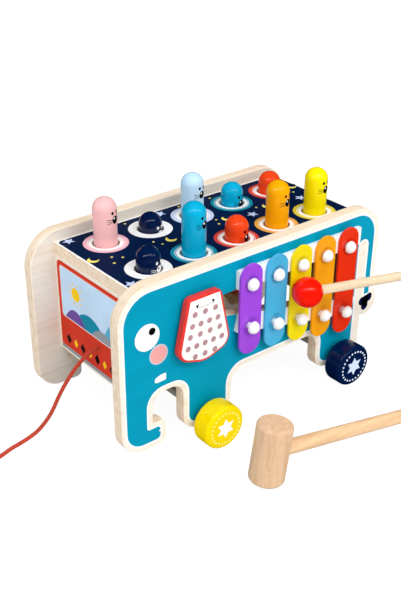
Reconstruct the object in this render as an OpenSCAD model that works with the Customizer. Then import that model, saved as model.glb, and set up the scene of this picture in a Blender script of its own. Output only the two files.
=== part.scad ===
// Pull-along elephant toy: ten peg moles on five see-saws, key bars on one side, four wheels.
// Millimetres. X runs from the trunk (-X) to the tail (+X), the key bars are on the -Y side and
// the wheels stand on Z = 0. X = 0 is the third column of moles, Y = 0 the middle of the toy.

/* [Boards] */
// Thickness of the plywood boards and side panels
board_t = 9; // [6:0.5:12]
// Clear width between the side panels
inner_w = 102; // [90:1:130]
// Height of the deck's upper face
deck_z = 134; // [124:1:160]
// Deck in front of the first column of moles
deck_front = 29; // [24:0.5:40]
// Deck behind the last column of moles
deck_rear = 27; // [24:0.5:40]
// Thickness of the guide board glued under the deck
guide_t = 6; // [4:0.5:8]
// Height of the end boards' lower edge
end_z = 45; // [30:1:60]

/* [Side panels] */
// Rise of the panels above the deck
side_rise = 9; // [4:0.5:16]
// Panel in front of the front end board
trunk_reach = 21; // [14:0.5:30]
// Panel behind the rear end board
rump_reach = 12; // [8:0.5:20]
// Height of the feet above the floor
foot_z = 12.5; // [6:0.5:14]
// Width of the trunk
trunk_w = 26.5; // [22:0.5:32]
// How far the trunk's tip reaches back
tip_reach = 11; // [8:0.5:16]
// Height of the trunk's tip
tip_h = 20; // [12:0.5:26]
// Width of the arch between trunk and front leg
arch_w = 27.5; // [24:0.5:34]
// Height of the arch's top
arch_z = 56; // [50:0.5:64]
// Width of the front leg
front_leg_w = 44.5; // [36:0.5:54]
// Width of the rear leg
rear_leg_w = 49; // [38:0.5:59]
// Panel behind the rear leg
tail_w = 13; // [10:0.5:16]
// Height of the belly's edge
belly_z = 48.5; // [40:0.5:52]
// Radius of the forehead
brow_r = 27; // [15:0.5:35]
// Radius of the rump
rump_r = 25; // [15:0.5:35]
// Radius of the trunk's lower front corner
trunk_r = 19; // [10:0.5:22]
// Radius of the trunk tip's corners
tip_r = 5; // [2:0.5:6]
// Radius of the arch's upper corners
arch_r = 11; // [6:0.5:12]
// Radius of the feet's corners
foot_r = 13; // [6:0.5:16]
// Radius of the belly's corners
belly_r = 12.5; // [6:0.5:16]
// Radius of the tail's tuft
tuft_r = 12; // [10:0.5:15]
// Height of the tuft's middle
tuft_z = 58; // [54:0.5:70]
// The tuft's middle in front of the rear edge
tuft_in = 7.5; // [5:0.5:10]

/* [Moles] */
// Distance between neighbouring columns of moles
mole_pitch = 40; // [36:0.5:50]
// Distance of each row of moles from the middle
mole_row = 26.2; // [24:0.2:32]
// Radius of a mole peg
mole_r = 8.8; // [8:0.1:12]
// Length of a mole peg
mole_l = 62; // [54:0.5:70]
// Height of a mole above the deck while its see-saw is level
mole_mid = 26.5; // [22:0.5:34]
// How far a mole travels
mole_travel = 26; // [16:0.5:28]
// Gap round a peg in the guide board
guide_gap = 0.4; // [0.3:0.1:0.8]
// Gap round a peg in the deck
deck_gap = 1.3; // [0.6:0.1:1.6]

/* [See-saws] */
// Radius of the rod that the see-saws turn on
rod_r = 3; // [2:0.1:4]
// Depth of the rod's seat in an end board
rod_seat = 5; // [3:0.5:5.5]
// Distance from the rod to the middle of a see-saw's round end
rocker_arm = 27.5; // [25:0.1:34]
// Radius of a see-saw's round ends
rocker_end_r = 5; // [4:0.5:7]
// Half the height of a see-saw's beam
rocker_waist = 3.5; // [2.5:0.1:3.8]
// Radius of a see-saw's hub
hub_r = 7.5; // [6:0.5:9]
// Thickness of a see-saw
rocker_w = 9; // [6:0.5:14]
// Gap between a peg and the see-saw end under it
rest_gap = 0.5; // [0.4:0.05:0.6]
// Radius of the spacer tubes on the rod
spacer_r = 6; // [4.5:0.5:8]

/* [Key bars] */
// Lengths of the key bars, shortest first
key_l = [72.5, 75, 79.5, 85, 90.5]; // [60:0.5:110]
// Width of a key bar
key_w = 20.4; // [16:0.2:23]
// Thickness of a key bar
key_t = 2; // [1.5:0.5:4]
// Distance between neighbouring key bars
key_pitch = 24.6; // [24:0.1:28]
// Key bars' upper ends below the panel's top
key_drop = 9; // [4:0.5:14]
// Last key bar's middle in front of the panel's rear edge
key_rear = 40; // [36:0.2:48]
// Radius of the dished hollow round a pin
dish_r = 7.5; // [4:0.5:8]
// Depth of the dished hollow
dish_d = 1; // [0.4:0.1:1.2]
// Thickness of the rails
rail_t = 4; // [3:0.5:6]
// Height of the rails
rail_h = 14.4; // [12:0.2:18]
// Rails in front of the first key bar's middle
rail_front = 9.6; // [8:0.2:14]
// Rails behind the last key bar's middle
rail_rear = 14.8; // [10:0.2:22]
// Upper rail's middle above its pins
upper_rail_lift = 4; // [2:0.2:4.6]
// Lower rail's middle above its pins
lower_rail_lift = 2; // [1:0.2:4]
// Upper pins below the key bars' upper ends
upper_pin = 15.4; // [12:0.2:20]
// First lower pin below the key bars' upper ends
lower_pin = 49.6; // [46:0.2:54]
// Drop from one lower pin to the next
pin_step = 5.3; // [4:0.1:6]
// Radius of a pin's stem
pin_r = 2.4; // [1.5:0.1:2.6]
// Radius of a pin's head
head_r = 4.8; // [4:0.1:6]
// Gap between an upper pin's head and its key bar
upper_head_gap = 1; // [0.3:0.1:3]
// Gap between a lower pin's head and its key bar
lower_head_gap = 3; // [0.3:0.1:4]
// Window in front of the first key bar's middle
window_front = 24.4; // [16:0.2:28]
// Window behind the last key bar's middle
window_rear = 9; // [6:0.2:14]
// Window's upper edge below the upper pins' middles
window_under = 4; // [3:0.5:8]
// Window's lower edge above the lower pins' middles
window_over = 8; // [5:0.5:9]

/* [Ear] */
// Ear's middle behind the trunk's front edge
ear_back = 67.2; // [60:0.2:70]
// Ear's upper edge above the guide board's lower face
ear_rise = 6.5; // [4:0.5:7.5]
// Height of the ear
ear_h = 53; // [46:0.5:60]
// Thickness of the ear
ear_t = 6; // [4:0.5:8]
// Gap between ear and panel
ear_gap = 1.5; // [1:0.1:3]
// Middle of an upper corner from the ear's middle
ear_upper_x = 10.4; // [8:0.2:13]
// Radius of the upper corners
ear_upper_r = 5; // [3:0.5:7]
// Middle of a lower corner from the ear's middle
ear_lower_x = 12; // [10:0.2:15]
// Radius of the lower corners
ear_lower_r = 10.5; // [7:0.5:12]
// Height of the lower corners' middles above the ear's lower edge
ear_lower_z = 14; // [12:0.5:18]
// Radius of the ear's lower edge
ear_belly_r = 20; // [16:0.5:21]
// Radius of the ear's pin
ear_pin_r = 2.5; // [2:0.1:3]
// The pin below the ear's upper edge
ear_pin_drop = 13; // [12:0.5:18]
// Depth of the pin's seat in the ear
ear_pin_seat = 4; // [3:0.5:4.5]
// Radius of the pin's shoulder and of its inner cap
ear_cap_r = 5; // [4:0.5:6]
// Thickness of the inner cap
ear_cap_t = 4; // [2:0.5:6]

/* [Wheels] */
// Radius of a wheel
wheel_r = 17.5; // [14:0.5:22]
// Thickness of a wheel
wheel_t = 17; // [12:0.5:22]
// Rounding of a wheel's edges
wheel_round = 3; // [1:0.5:5]
// Gap between wheel and side panel, taken up by a spacer
wheel_gap = 4; // [2:0.5:8]
// Radius of an axle
axle_r = 3; // [2:0.1:4]
// Depth of the axle's seat in a wheel
axle_seat = 12; // [8:0.5:12]
// Radius of the axle spacers
washer_r = 6; // [4.5:0.5:9]
// Rear axle in front of the rear leg's rear edge
rear_axle_in = 25.3; // [20:0.1:28]

/* [Hammer and mallet] */
// Radius of the hammer's head
hammer_r = 13; // [10:0.5:16]
// Length of the hammer's head
hammer_h = 47; // [36:0.5:56]
// Rounding of the hammer head's rims
hammer_round = 3; // [1:0.5:5]
// Length of the hammer's handle from the head's middle
handle_l = 151; // [120:1:180]
// Radius of the handle at the head
handle_r1 = 5.5; // [4:0.1:7]
// Radius of the handle at its free end
handle_r2 = 5; // [4:0.1:7]
// Rounding of the sticks' free ends
stick_round = 1.5; // [0.5:0.5:3]
// Radius of the mallet's ball
ball_r = 11.5; // [9:0.5:14]
// Radius of the mallet's stick
stick_r = 3.5; // [2.5:0.1:5]
// Length of the stick from the ball's middle
stick_l = 150; // [110:1:180]

/* [Pull cord] */
// Radius of the cord
cord_r = 1.5; // [1:0.1:1.5]
// Height of the cord's hole in the front board
cord_hole_z = 69; // [60:0.5:75]
// Offset of the cord's hole from the middle
cord_hole_y = -2; // [-8:0.5:8]
// Distance between the coil's turns
coil_step = 3.5; // [3.5:0.1:4.5]
// Least radius of the coil
coil_inner = 12.5; // [11:0.5:16]
// Turns of the coil
coil_turns = 4; // [4:1:6]
// Thickness of the coil's tie
tie_t = 0.5; // [0.4:0.1:1]
// Width of the coil's tie
tie_w = 5; // [3:0.5:8]
// Radius of the pull bead
bead_r = 8; // [6:0.5:12]
// Radius of the cord's knots
knot_r = 3.5; // [3:0.1:4.5]

/* [Hidden] */
$fn = 64;
COLUMNS = 5;
// How far each see-saw is tipped at rest, as a share of its travel: the back mole is up at 1, and the
// front one at -1
rest_share = [0.73, -1, 0.65, -0.69, -0.73];
back_colours = ["#F4B6C2", "#0D1B4C", "#7FC4E8", "#1391AE", "#E04A2A"];
front_colours = ["#0D1B4C", "#1391AE", "#E04A2A", "#F5A000", "#F5DC00"];
key_colours = ["#A546E6", "#3CB4E1", "#F5DC14", "#FAA50F", "#E62D0F"];
ply = "#EFE0CB";
steel = "#6E6A68";

// Gaps: parts that turn or slide, and parts that are glued or pressed in
run_gap = 0.3;
glue_gap = 0.05;
// How far a cutting body passes the face that it cuts
over = 1;

// The box
inner_y = inner_w / 2;
face_y = inner_y + board_t;
front_x = -(COLUMNS - 1) / 2 * mole_pitch - deck_front;
rear_x = (COLUMNS - 1) / 2 * mole_pitch + deck_rear;
deck_under = deck_z - board_t;
guide_under = deck_under - guide_t;
side_z = deck_z + side_rise;
trunk_x = front_x - trunk_reach;
rump_x = rear_x + rump_reach;
arch_x = trunk_x + trunk_w;
front_leg_x = arch_x + arch_w;
belly_x = front_leg_x + front_leg_w;
rear_leg_end = rump_x - tail_w;
rear_leg_x = rear_leg_end - rear_leg_w;
function column_x(i) = (i - (COLUMNS - 1) / 2) * mole_pitch;

// Pegs and see-saws: each peg stands just above its see-saw's round end
level_foot = deck_z + mole_mid - mole_l;
rod_z = level_foot - rest_gap - rocker_end_r;
function rest_lift(i) = rest_share[i] * mole_travel / 2;

// Wheels and axles
front_axle_x = front_leg_x + front_leg_w / 2;
rear_axle_x = rear_leg_end - rear_axle_in;
wheel_y = face_y + wheel_gap;
axle_end = wheel_y + axle_seat - glue_gap;

// Key bars: the lower rail and the window's lower edge slope with the lower pins
rail_y = -face_y - rail_t;
key_face = rail_y - key_t;
key_z = side_z - key_drop;
pin_slope = atan(pin_step / key_pitch);
function key_x(i) = rump_x - key_rear - (COLUMNS - 1 - i) * key_pitch;
function upper_pin_z() = key_z - upper_pin;
function lower_pin_z(x) = key_z - lower_pin - (x - key_x(0)) * pin_step / key_pitch;
rail_x0 = key_x(0) - rail_front;
rail_l = key_x(COLUMNS - 1) + rail_rear - rail_x0;

// Ear
ear_x = trunk_x + ear_back;
ear_top = guide_under + ear_rise;
ear_under = ear_top - ear_h;
ear_pin_z = ear_top - ear_pin_drop;
ear_y = -face_y - ear_gap;

// Wood left beyond the blind end of a stick's seat
seat_wall = 3;

// The hammer lies on its head's lower rim and the end of its handle, behind the front axle and clear of
// the near panel
hammer_behind = 0.7;
hammer_off = 68;
hammer_at = [front_axle_x + hammer_behind, -face_y - hammer_off];
hammer_turn = -6.8;
hammer_seat = hammer_r - seat_wall;
hammer_flat = hammer_h / 2 - hammer_round - handle_r2;
hammer_long = handle_l - stick_round - hammer_r + hammer_round;
hammer_tilt = atan2(hammer_flat, hammer_long)
    + asin(hammer_round / norm([hammer_flat, hammer_long]));
hammer_z = (hammer_h / 2 - hammer_round) * cos(hammer_tilt)
    + (hammer_r - hammer_round) * sin(hammer_tilt) + hammer_round;

// The mallet's ball is at the middle key bar's face, in front of the bar's middle and below its upper end
struck_key = 2;
ball_before = 4.9;
ball_drop = 31.9;
mallet_at = [key_x(struck_key) - ball_before, key_face - run_gap - ball_r, key_z - ball_drop];
mallet_turn = -18.8;
ball_seat = ball_r - seat_wall;

// The cord's route from the hole in the front board to the coil, X from the board's face
cord_route = [
    [-5, -2, 68.2], [-10, -1, 65.6], [-15, 0, 61.4], [-20, 1, 56], [-25, 2, 49.4],
    [-29.5, 3, 42.4], [-33, 4.5, 35], [-36, 6, 27.5], [-39, 8.5, 20], [-43, 11, 13],
    [-48, 13, 7.5], [-54, 14.5, 4], [-61, 15, 2], [-69, 14, 1.6], [-79, 11, 1.6],
    [-89, 8.5, 1.9], [-94, 8, 2.3], [-97, 8, 2.3]
];
cord_gap = 0.5;
cord_hole_r = cord_r + cord_gap;
cord_points = concat(
    [[front_x + board_t, cord_hole_y, cord_hole_z], [front_x, cord_hole_y, cord_hole_z]],
    [for (p = cord_route) p + [front_x, 0, 0]]
);
// A knot's middle beyond the face that it bears on
knot_sink = 2;
cord_end = cord_points[len(cord_points) - 1];

// The coil spirals in, climbs one layer in the half turn where it reverses, and spirals out
RINGS_A_TURN = 24;
coil_in_turns = coil_turns / 2;
coil_reverse = coil_in_turns + 0.25;
lead = 2 * cord_r;
function coil_radius(t) = coil_inner + coil_step * abs(t - coil_reverse);
function coil_layer(t) = min(1, max(0, (t - coil_in_turns) * 2));
coil_at = cord_end + [-lead, coil_radius(0), 0];
function coil_point(t) = coil_at
    + coil_radius(t) * [-sin(360 * t), -cos(360 * t), 0] + [0, 0, coil_step * coil_layer(t)];

// The tail climbs from the coil's end to the bead's bore
TAIL_STEPS = 6;
tail_l = 15;
coil_last = coil_point(coil_turns);
bead_at = [coil_last[0] - tail_l - lead - bead_r, coil_last[1], bead_r];
bead_far = bead_at[0] - bead_r;
function ease(s) = (1 - cos(180 * s)) / 2;
function tail_point(s) = [
    coil_last[0] - tail_l * s, coil_last[1], coil_last[2] + (bead_at[2] - coil_last[2]) * ease(s)
];
coil_points = concat(
    [cord_end],
    [for (k = [0 : coil_turns * RINGS_A_TURN]) coil_point(k / RINGS_A_TURN)],
    [for (k = [1 : TAIL_STEPS]) tail_point(k / TAIL_STEPS)],
    [[bead_far, bead_at[1], bead_at[2]]]
);

// Least gap of the coil to itself, between points at least half a turn apart
coil_gap = min([
    for (i = [0 : len(coil_points) - 1])
        for (j = [i + RINGS_A_TURN / 2 : 1 : len(coil_points) - 1])
            norm(coil_points[i] - coil_points[j])
]) - 2 * cord_r;
echo(coil_gap = coil_gap);
cord_length = sum([for (i = [1 : len(cord_points) - 1]) norm(cord_points[i] - cord_points[i - 1])])
    + sum([for (i = [1 : len(coil_points) - 1]) norm(coil_points[i] - coil_points[i - 1])]);
echo(cord_length = cord_length);
function sum(list) = list * [for (v = list) 1];

// Outlines

// The waste outside a rounded corner: the corner is at the origin, the shape in the first quarter
module corner_waste(at, r, turn) {
    translate(at)
        rotate(turn)
            difference() {
                translate([-over, -over]) square(r + over);
                translate([r, r]) circle(r);
            }
}

// A rectangle from one corner to the opposite one, with a radius for each corner, anticlockwise
// from the lower left
module rounded_rectangle(low, high, radii) {
    corners = [low, [high[0], low[1]], high, [low[0], high[1]]];
    difference() {
        translate(low) square(high - low);
        for (k = [0 : 3])
            if (radii[k] > 0) corner_waste(corners[k], radii[k], 90 * k);
    }
}

// The elephant, seen from the near side
module side_outline() {
    difference() {
        union() {
            rounded_rectangle([trunk_x, foot_z], [rear_leg_end, side_z], [trunk_r, foot_r, rump_r, brow_r]);
            rounded_rectangle([rear_leg_x, tuft_z], [rump_x, side_z], [0, 0, rump_r, 0]);
            translate([rump_x - tuft_in, tuft_z]) circle(tuft_r);
        }
        rounded_rectangle([arch_x, foot_z + tip_h], [front_leg_x, arch_z], [0, 0, arch_r, arch_r]);
        translate([arch_x + tip_reach, foot_z - over])
            square([arch_w - tip_reach, tip_h + 2 * over]);
        rounded_rectangle([belly_x, foot_z - over], [rear_leg_x, belly_z], [0, 0, belly_r, belly_r]);
        corner_waste([arch_x + tip_reach, foot_z], tip_r, 90);
        corner_waste([arch_x + tip_reach, foot_z + tip_h], tip_r, 180);
        corner_waste([front_leg_x, foot_z], foot_r, 0);
        corner_waste([belly_x, foot_z], foot_r, 90);
        corner_waste([rear_leg_x, foot_z], foot_r, 0);
    }
}

// The opening behind the key bars, its lower edge along the lower pins
module window_outline() {
    x0 = key_x(0) - window_front;
    x1 = key_x(COLUMNS - 1) + window_rear;
    low0 = lower_pin_z(x0) + window_over;
    low1 = lower_pin_z(x1) + window_over;
    high = upper_pin_z() - window_under;
    polygon([[x0, high], [x0, low0], [x1, low1], [x1, high]]);
}

// A bar with round ends, hanging down from its upper end
module bar_outline(w, l) {
    translate([-w / 2, w / 2 - l]) square([w, l - w]);
    translate([0, -w / 2]) circle(w / 2);
    translate([0, w / 2 - l]) circle(w / 2);
}

// A see-saw: a hub, a straight beam through it and a round end on each side
module rocker_outline() {
    circle(hub_r);
    square([2 * rocker_arm, 2 * rocker_waist], center = true);
    for (s = [-1, 1])
        translate([s * rocker_arm, 0]) circle(rocker_end_r);
}

// The ear hangs from its upper edge, with round corners and a bulging lower edge
module ear_outline() {
    hull()
        for (s = [-1, 1]) {
            translate([s * ear_upper_x, -ear_upper_r]) circle(ear_upper_r, $fn = 32);
            translate([s * ear_lower_x, ear_lower_z - ear_h]) circle(ear_lower_r, $fn = 32);
            translate([0, ear_belly_r - ear_h]) circle(ear_belly_r, $fn = 64);
        }
}

// Half the section of a turned disc or post with rounded rims
module turned_section(r, h, low_round, high_round) {
    rounded_rectangle([0, 0], [r, h], [0, low_round, high_round, 0]);
}

// Placing

// Stands an outline drawn in X and Z on edge, from y0 towards +Y
module upright(y0, t) {
    translate([0, y0 + t, 0])
        rotate([90, 0, 0])
            linear_extrude(t) children();
}

// A round bar along Y
module bar_y(x, z, r, y0, y1) {
    translate([x, y1, z])
        rotate([90, 0, 0])
            cylinder(r = r, h = y1 - y0);
}

// A round bar along X
module bar_x(y, z, r, x0, x1) {
    translate([x0, y, z])
        rotate([0, 90, 0])
            cylinder(r = r, h = x1 - x0);
}

// A tube of n sides along a list of points, closed at both ends
module tube(points, r, n, up) {
    last = len(points) - 1;
    rings = [
        for (i = [0 : last])
            let (
                along = points[min(i + 1, last)] - points[max(i - 1, 0)],
                side = cross(along, up) / norm(cross(along, up)),
                rise = cross(side, along) / norm(along)
            )
            for (k = [0 : n - 1]) points[i] + r * (cos(360 * k / n) * side + sin(360 * k / n) * rise)
    ];
    walls = [
        for (i = [0 : last - 1])
            for (k = [0 : n - 1])
                let (a = i * n + k, b = i * n + (k + 1) % n)
                each [[a, b, b + n], [a, b + n, a + n]]
    ];
    caps = [for (k = [1 : n - 2]) each [[0, k + 1, k], [last * n, last * n + k, last * n + k + 1]]];
    polyhedron(rings, concat(walls, caps));
}

// Boards and panels

module axle_holes(y0, y1) {
    for (x = [front_axle_x, rear_axle_x])
        bar_y(x, wheel_r, axle_r + run_gap, y0 - over, y1 + over);
}

module near_side_panel() {
    color(ply)
        difference() {
            upright(-face_y, board_t)
                difference() {
                    side_outline();
                    window_outline();
                }
            axle_holes(-face_y, -inner_y);
            bar_y(ear_x, ear_pin_z, ear_pin_r + run_gap, -face_y - over, -inner_y + over);
        }
}

module far_side_panel() {
    color(ply)
        difference() {
            upright(inner_y, board_t) side_outline();
            axle_holes(inner_y, face_y);
        }
}

// A board under the moles, pierced for every peg
module pierced_board(x0, x1, z0, t, hole_r) {
    difference() {
        translate([x0, -inner_y, z0]) cube([x1 - x0, inner_w, t]);
        for (i = [0 : COLUMNS - 1])
            for (s = [-1, 1])
                translate([column_x(i), s * mole_row, z0 - over]) cylinder(r = hole_r, h = t + 2 * over);
    }
}

module top_board() {
    color(ply) pierced_board(front_x, rear_x, deck_under, board_t, mole_r + deck_gap);
}

module guide_board() {
    color(ply)
        pierced_board(front_x + board_t, rear_x - board_t, guide_under, guide_t, mole_r + guide_gap);
}

// An end board from x0, with the rod's seat in the face towards the moles
module end_board(x0, seat_x) {
    difference() {
        translate([x0, -inner_y, end_z]) cube([board_t, inner_w, deck_under - end_z]);
        bar_x(0, rod_z, rod_r + glue_gap, seat_x - rod_seat, seat_x + rod_seat);
    }
}

module front_end_board() {
    color(ply)
        difference() {
            end_board(front_x, front_x + board_t);
            bar_x(cord_hole_y, cord_hole_z, cord_hole_r, front_x - over, front_x + board_t + over);
        }
}

module rear_end_board() {
    color(ply) end_board(rear_x - board_t, rear_x - board_t);
}

// See-saws and moles

module rocker_rod() {
    reach = rod_seat - glue_gap;
    color(steel) bar_x(0, rod_z, rod_r, front_x + board_t - reach, rear_x - board_t + reach);
}

module rod_spacers() {
    ends = concat(
        [front_x + board_t],
        [for (i = [0 : COLUMNS - 1]) each [column_x(i) - rocker_w / 2, column_x(i) + rocker_w / 2]],
        [rear_x - board_t]
    );
    color(ply)
        for (k = [0 : COLUMNS])
            difference() {
                bar_x(0, rod_z, spacer_r, ends[2 * k] + run_gap, ends[2 * k + 1] - run_gap);
                bar_x(0, rod_z, rod_r + glue_gap, ends[2 * k] - over, ends[2 * k + 1] + over);
            }
}

module rocker(i) {
    color(ply)
        translate([column_x(i) - rocker_w / 2, 0, rod_z])
            rotate([asin(rest_lift(i) / rocker_arm), 0, 0])
                rotate([90, 0, 90])
                    linear_extrude(rocker_w)
                        difference() {
                            rocker_outline();
                            circle(rod_r + run_gap);
                        }
}

// A peg with round ends; s is 1 for the back row and -1 for the front row
module mole(i, s, colour) {
    color(colour)
        translate([column_x(i), s * mole_row, level_foot + s * rest_lift(i)])
            rotate_extrude() turned_section(mole_r, mole_l, mole_r, mole_r);
}

// Key bars

module pin_holes(i, r, y0, y1) {
    for (z = [upper_pin_z(), lower_pin_z(key_x(i))])
        bar_y(key_x(i), z, r, y0, y1);
}

module upper_rail() {
    color("white")
        difference() {
            upright(rail_y, rail_t)
                translate([rail_x0, upper_pin_z() + upper_rail_lift - rail_h / 2]) square([rail_l, rail_h]);
            for (i = [0 : COLUMNS - 1])
                bar_y(key_x(i), upper_pin_z(), pin_r + glue_gap, rail_y - over, -face_y + over);
        }
}

module lower_rail() {
    color("white")
        difference() {
            upright(rail_y, rail_t)
                translate([rail_x0, lower_pin_z(rail_x0)])
                    rotate(-pin_slope)
                        translate([0, lower_rail_lift - rail_h / 2]) square([rail_l, rail_h]);
            for (i = [0 : COLUMNS - 1])
                bar_y(key_x(i), lower_pin_z(key_x(i)), pin_r + glue_gap, rail_y - over, -face_y + over);
        }
}

// A key bar with two clear holes, each in a dished hollow
module key_bar(i) {
    hole_r = pin_r + 2 * run_gap;
    flare = (dish_r - hole_r) / dish_d;
    color(key_colours[i])
        difference() {
            upright(key_face, key_t)
                translate([key_x(i), key_z]) bar_outline(key_w, key_l[i]);
            pin_holes(i, hole_r, key_face - over, rail_y + over);
            for (z = [upper_pin_z(), lower_pin_z(key_x(i))])
                translate([key_x(i), key_face + dish_d, z])
                    rotate([90, 0, 0])
                        cylinder(r1 = hole_r, r2 = dish_r + over * flare, h = dish_d + over);
        }
}

// A mushroom pin pressed into a rail, its head clear of the key bar
module key_pin(x, z, head_gap) {
    stem = rail_t + key_t + head_gap;
    color("white")
        translate([x, -face_y, z])
            rotate([90, 0, 0])
                rotate_extrude() {
                    square([pin_r, stem + head_r / 2]);
                    translate([0, stem])
                        intersection() {
                            circle(head_r);
                            square(head_r);
                        }
                }
}

module upper_key_pins() {
    for (i = [0 : COLUMNS - 1])
        key_pin(key_x(i), upper_pin_z(), upper_head_gap);
}

module lower_key_pins() {
    for (i = [0 : COLUMNS - 1])
        key_pin(key_x(i), lower_pin_z(key_x(i)), lower_head_gap);
}

// Ear

module ear() {
    color("#E6413C")
        difference() {
            upright(ear_y - ear_t, ear_t)
                translate([ear_x, ear_top]) ear_outline();
            bar_y(ear_x, ear_pin_z, ear_pin_r + glue_gap, ear_y - ear_pin_seat, ear_y + over);
        }
}

// The shoulder pin is pressed into the ear and turns in the panel
module ear_pin() {
    cap_y = -inner_y + run_gap + ear_cap_t;
    color(steel) {
        bar_y(ear_x, ear_pin_z, ear_pin_r, ear_y - ear_pin_seat + glue_gap, cap_y);
        bar_y(ear_x, ear_pin_z, ear_cap_r, ear_y, -face_y - run_gap);
    }
}

module ear_pin_cap() {
    color(ply)
        difference() {
            bar_y(ear_x, ear_pin_z, ear_cap_r, -inner_y + run_gap, -inner_y + run_gap + ear_cap_t);
            bar_y(ear_x, ear_pin_z, ear_pin_r + glue_gap, -inner_y, -inner_y + run_gap + ear_cap_t + over);
        }
}

// Wheels

module axle(x) {
    color(steel) bar_y(x, wheel_r, axle_r, -axle_end, axle_end);
}

module axle_spacers(x) {
    color(ply)
        for (s = [-1, 1])
            difference() {
                bar_y(x, wheel_r, washer_r, min(s * wheel_y, s * (face_y + run_gap)),
                      max(s * wheel_y, s * (face_y + run_gap)));
                bar_y(x, wheel_r, axle_r + glue_gap, s * wheel_y - wheel_gap, s * wheel_y + wheel_gap);
            }
}

// A turned wheel with a blind seat for its axle; s is -1 on the near side and 1 on the far side
module wheel(x, s, colour) {
    color(colour)
        difference() {
            translate([x, s * wheel_y, wheel_r])
                rotate([-90 * s, 0, 0])
                    rotate_extrude() turned_section(wheel_r, wheel_t, wheel_round, wheel_round);
            bar_y(x, wheel_r, axle_r + glue_gap, s * wheel_y - axle_seat, s * wheel_y + axle_seat);
        }
}

// Hammer and mallet

// Places a piece that is drawn with the head's axis along Z and the handle along X
module hammer_place() {
    translate([hammer_at[0], hammer_at[1], hammer_z])
        rotate([0, 0, hammer_turn])
            rotate([0, hammer_tilt, 0]) children();
}

module hammer_head() {
    color("#E9C39B")
        hammer_place()
            difference() {
                translate([0, 0, -hammer_h / 2])
                    rotate_extrude() turned_section(hammer_r, hammer_h, hammer_round, hammer_round);
                translate([-hammer_seat, 0, 0])
                    rotate([0, 90, 0]) cylinder(r = handle_r1 + glue_gap, h = hammer_seat + hammer_r + over);
            }
}

// A parallel tenon in the head, then a slim taper to a rounded end
module hammer_handle() {
    tenon = hammer_seat + hammer_r;
    color("#EED3A6")
        hammer_place()
            translate([glue_gap - hammer_seat, 0, 0])
                rotate([0, 90, 0]) {
                    cylinder(r = handle_r1, h = tenon);
                    translate([0, 0, tenon])
                        cylinder(r1 = handle_r1, r2 = handle_r2, h = handle_l - hammer_r - stick_round);
                    translate([0, 0, handle_l + hammer_seat - stick_round])
                        rotate_extrude() turned_section(handle_r2, stick_round, 0, stick_round);
                }
}

module mallet_place() {
    translate(mallet_at)
        rotate([0, 0, mallet_turn])
            rotate([0, 90, 0]) children();
}

module mallet_ball() {
    color("#FA1900")
        mallet_place()
            difference() {
                sphere(ball_r);
                translate([0, 0, -ball_seat])
                    cylinder(r = stick_r + glue_gap, h = ball_seat + ball_r + over);
            }
}

module mallet_stick() {
    color("#EED3A6")
        mallet_place()
            translate([0, 0, glue_gap - ball_seat])
                rotate_extrude() turned_section(stick_r, stick_l + ball_seat, 0, stick_round);
}

// Pull cord

module pull_cord() {
    color("#BE371E") tube(cord_points, cord_r, 8, [0, 1, 0]);
}

module cord_coil() {
    color("#BE371E") tube(coil_points, cord_r, 6, [0, 0, 1]);
}

// A band round the coil's turns on the far side, closed underneath
module cord_tie() {
    gap = run_gap;
    low = coil_at[1] + coil_inner - cord_r - gap;
    high = coil_at[1] + coil_radius(0) + cord_r + gap;
    under = coil_at[2] - cord_r - gap;
    upper = coil_at[2] + coil_step + cord_r + gap;
    color("#222222")
        translate([coil_at[0] - tie_w / 2, 0, 0])
            rotate([90, 0, 90])
                linear_extrude(tie_w)
                    difference() {
                        translate([low - tie_t, under - tie_t])
                            square([high - low + 2 * tie_t, upper - under + 2 * tie_t]);
                        translate([low, under]) square([high - low, upper - under]);
                    }
}

// A knot, flat where it bears on the face at x; s says which way it bulges
module knot(x, y, z, s) {
    color("#BE371E")
        translate([x, y, z])
            rotate([0, 90 * s, 0])
                rotate_extrude()
                    intersection() {
                        translate([0, knot_sink]) circle(knot_r);
                        square(2 * knot_r);
                    }
}

module cord_knot() {
    knot(front_x + board_t, cord_hole_y, cord_hole_z, 1);
}

module pull_bead() {
    color("#E9C39B")
        difference() {
            translate(bead_at) sphere(bead_r);
            bar_x(bead_at[1], bead_at[2], cord_r + run_gap, bead_far - over, bead_at[0] + bead_r + over);
        }
}

module bead_knot() {
    knot(bead_far, bead_at[1], bead_at[2], -1);
}

near_side_panel();
far_side_panel();
top_board();
guide_board();
front_end_board();
rear_end_board();
rocker_rod();
rod_spacers();
for (i = [0 : COLUMNS - 1]) {
    rocker(i);
    mole(i, 1, back_colours[i]);
    mole(i, -1, front_colours[i]);
    key_bar(i);
}
upper_rail();
lower_rail();
upper_key_pins();
lower_key_pins();
ear();
ear_pin();
ear_pin_cap();
axle(front_axle_x);  // front_axle
axle(rear_axle_x);  // rear_axle
axle_spacers(front_axle_x);  // front_axle_spacers
axle_spacers(rear_axle_x);  // rear_axle_spacers
wheel(front_axle_x, -1, "#F5DC00");  // near_front_wheel
wheel(front_axle_x, 1, "#0D1B4C");  // far_front_wheel
wheel(rear_axle_x, -1, "#0D1B4C");  // near_rear_wheel
wheel(rear_axle_x, 1, "#F5DC00");  // far_rear_wheel
hammer_head();
hammer_handle();
mallet_ball();
mallet_stick();
pull_cord();
cord_coil();
cord_tie();
cord_knot();
pull_bead();
bead_knot();
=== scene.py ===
"""Looks of a pull-along wooden toy with peg moles and key bars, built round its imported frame."""

import math

import bmesh
import bpy
from mathutils import Matrix, Vector


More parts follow.
